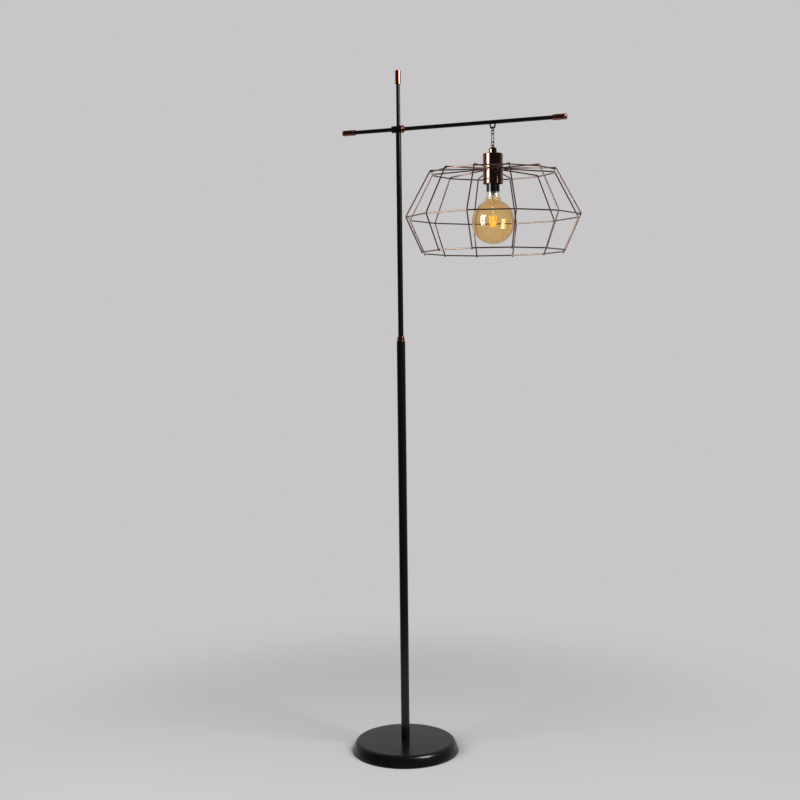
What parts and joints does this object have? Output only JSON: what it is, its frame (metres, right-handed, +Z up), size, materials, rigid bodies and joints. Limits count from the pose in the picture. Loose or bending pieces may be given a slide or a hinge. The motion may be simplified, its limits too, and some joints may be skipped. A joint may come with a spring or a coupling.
{
  "type": "floor lamp",
  "caption": "Wire cage pendant lamp hung by a short chain from the cross arm of a slim two-part pole on a round weighted foot.",
  "frame": {"origin": "centre of the underside of the foot, on the floor", "axes": "+Z up; +X along the cross arm, from the pole towards the hanging cage; the cable outlet is at +Y"},
  "size_m": [0.5659, 0.3992, 1.5881],
  "materials": {
    "black_coat": "satin black powder coat",
    "cast_grey": "rough cast",
    "pad_black": "matt rubber",
    "zinc_steel": "zinc plated",
    "black_plastic": "moulded black",
    "white_plastic": "moulded natural",
    "copper_brushed": "brushed copper plate",
    "copper_polished": "polished dark copper plate",
    "chain_dark": "dark plated wire",
    "cage_wire": "bronze copper plated wire",
    "bakelite": "glossy black",
    "porcelain": "glazed",
    "brass_sheet": "pressed brass",
    "amber_glass": "clear amber",
    "clear_glass": "clear",
    "black_glass": "glossy",
    "cap_metal": "bright",
    "filament": "phosphor coat"
  },
  "bodies": {
    "base": {"base_cover": "black_coat", "base_weight": "cast_grey", "base_pad": "pad_black", "base_stem": "zinc_steel", "base_nut": "zinc_steel", "cord_grommet": "black_plastic", "lower_pole": "black_coat", "pole_foot_plug": "zinc_steel", "top_bush": "brass_sheet", "copper_collar": "copper_brushed"},
    "clamp": {"clamp_ferrule": "black_plastic"},
    "stem": {"upper_tube": "black_coat", "slide_guide": "white_plastic", "cross_barrel": "black_coat", "arm_lock_ring": "copper_brushed", "arm_lock_nut": "copper_brushed", "top_tube": "black_coat", "top_cap": "copper_brushed"},
    "arm": {"arm_tube": "black_coat", "short_arm_cap": "copper_brushed", "long_arm_cap": "copper_brushed", "hanging_staple": "black_coat"},
    "link_1": {"chain_link_1": "chain_dark"},
    "link_2": {"chain_link_2": "chain_dark"},
    "link_3": {"chain_link_3": "chain_dark"},
    "link_4": {"chain_link_4": "chain_dark"},
    "pendant": {"cap_loop": "chain_dark", "neck_cap": "copper_brushed", "socket_cover": "copper_polished", "threaded_nipple": "zinc_steel", "nipple_nut": "zinc_steel", "holder_cap": "bakelite", "holder_shell": "bakelite", "holder_core": "porcelain", "terminal_screws": "brass_sheet", "screw_shell": "brass_sheet", "centre_contact": "brass_sheet", "bulb_glass": "amber_glass", "bulb_cap": "cap_metal", "bulb_insulator": "black_glass", "bulb_contact": "cap_metal", "bulb_stem": "clear_glass", "bulb_filaments": "filament", "bulb_wires": "zinc_steel", "cage_hub_ring": "cage_wire", "cage_top_ring": "cage_wire", "cage_middle_ring": "cage_wire", "cage_bottom_ring": "cage_wire", "cage_rib_01": "cage_wire", "cage_rib_02": "cage_wire", "cage_rib_03": "cage_wire", "cage_rib_04": "cage_wire", "cage_rib_05": "cage_wire", "cage_rib_06": "cage_wire", "cage_rib_07": "cage_wire", "cage_rib_08": "cage_wire", "cage_rib_09": "cage_wire", "cage_rib_10": "cage_wire", "cage_rib_11": "cage_wire", "cage_rib_12": "cage_wire"}
  },
  "joints": [
    {"name": "stem_turn", "type": "hinge", "parent": "base", "child": "clamp", "pos_m": [0, 0, 0.968], "axis": [0, 0, 1], "range_deg": [-170, 170]},
    {"name": "stem_height", "type": "slide", "parent": "clamp", "child": "stem", "axis": [0, 0, 1], "range_m": [-0.25, 0.12]},
    {"name": "arm_reach", "type": "slide", "parent": "stem", "child": "arm", "axis": [1, 0, 0], "range_m": [0, 0.09]},
    {"name": "staple_swing", "type": "hinge", "parent": "arm", "child": "link_1", "pos_m": [0.2263, 0, 1.44105], "axis": [1, 0, 0], "range_deg": [-16, 16]},
    {"name": "first_crossing", "type": "hinge", "parent": "link_1", "child": "link_2", "pos_m": [0.2263, 0, 1.43482], "axis": [-0.3907, -0.9205, 0], "range_deg": [-3, 12]},
    {"name": "second_crossing", "type": "hinge", "parent": "link_2", "child": "link_3", "pos_m": [0.2263, 0, 1.42774], "axis": [0.9205, -0.3907, 0], "range_deg": [-12, 12]},
    {"name": "third_crossing", "type": "hinge", "parent": "link_3", "child": "link_4", "pos_m": [0.2263, 0, 1.40899], "axis": [-0.3907, -0.9205, 0], "range_deg": [-3, 12]},
    {"name": "loop_swing", "type": "hinge", "parent": "link_4", "child": "pendant", "pos_m": [0.2263, 0, 1.40191], "axis": [0.9205, -0.3907, 0], "range_deg": [-12, 12]}
  ]
}
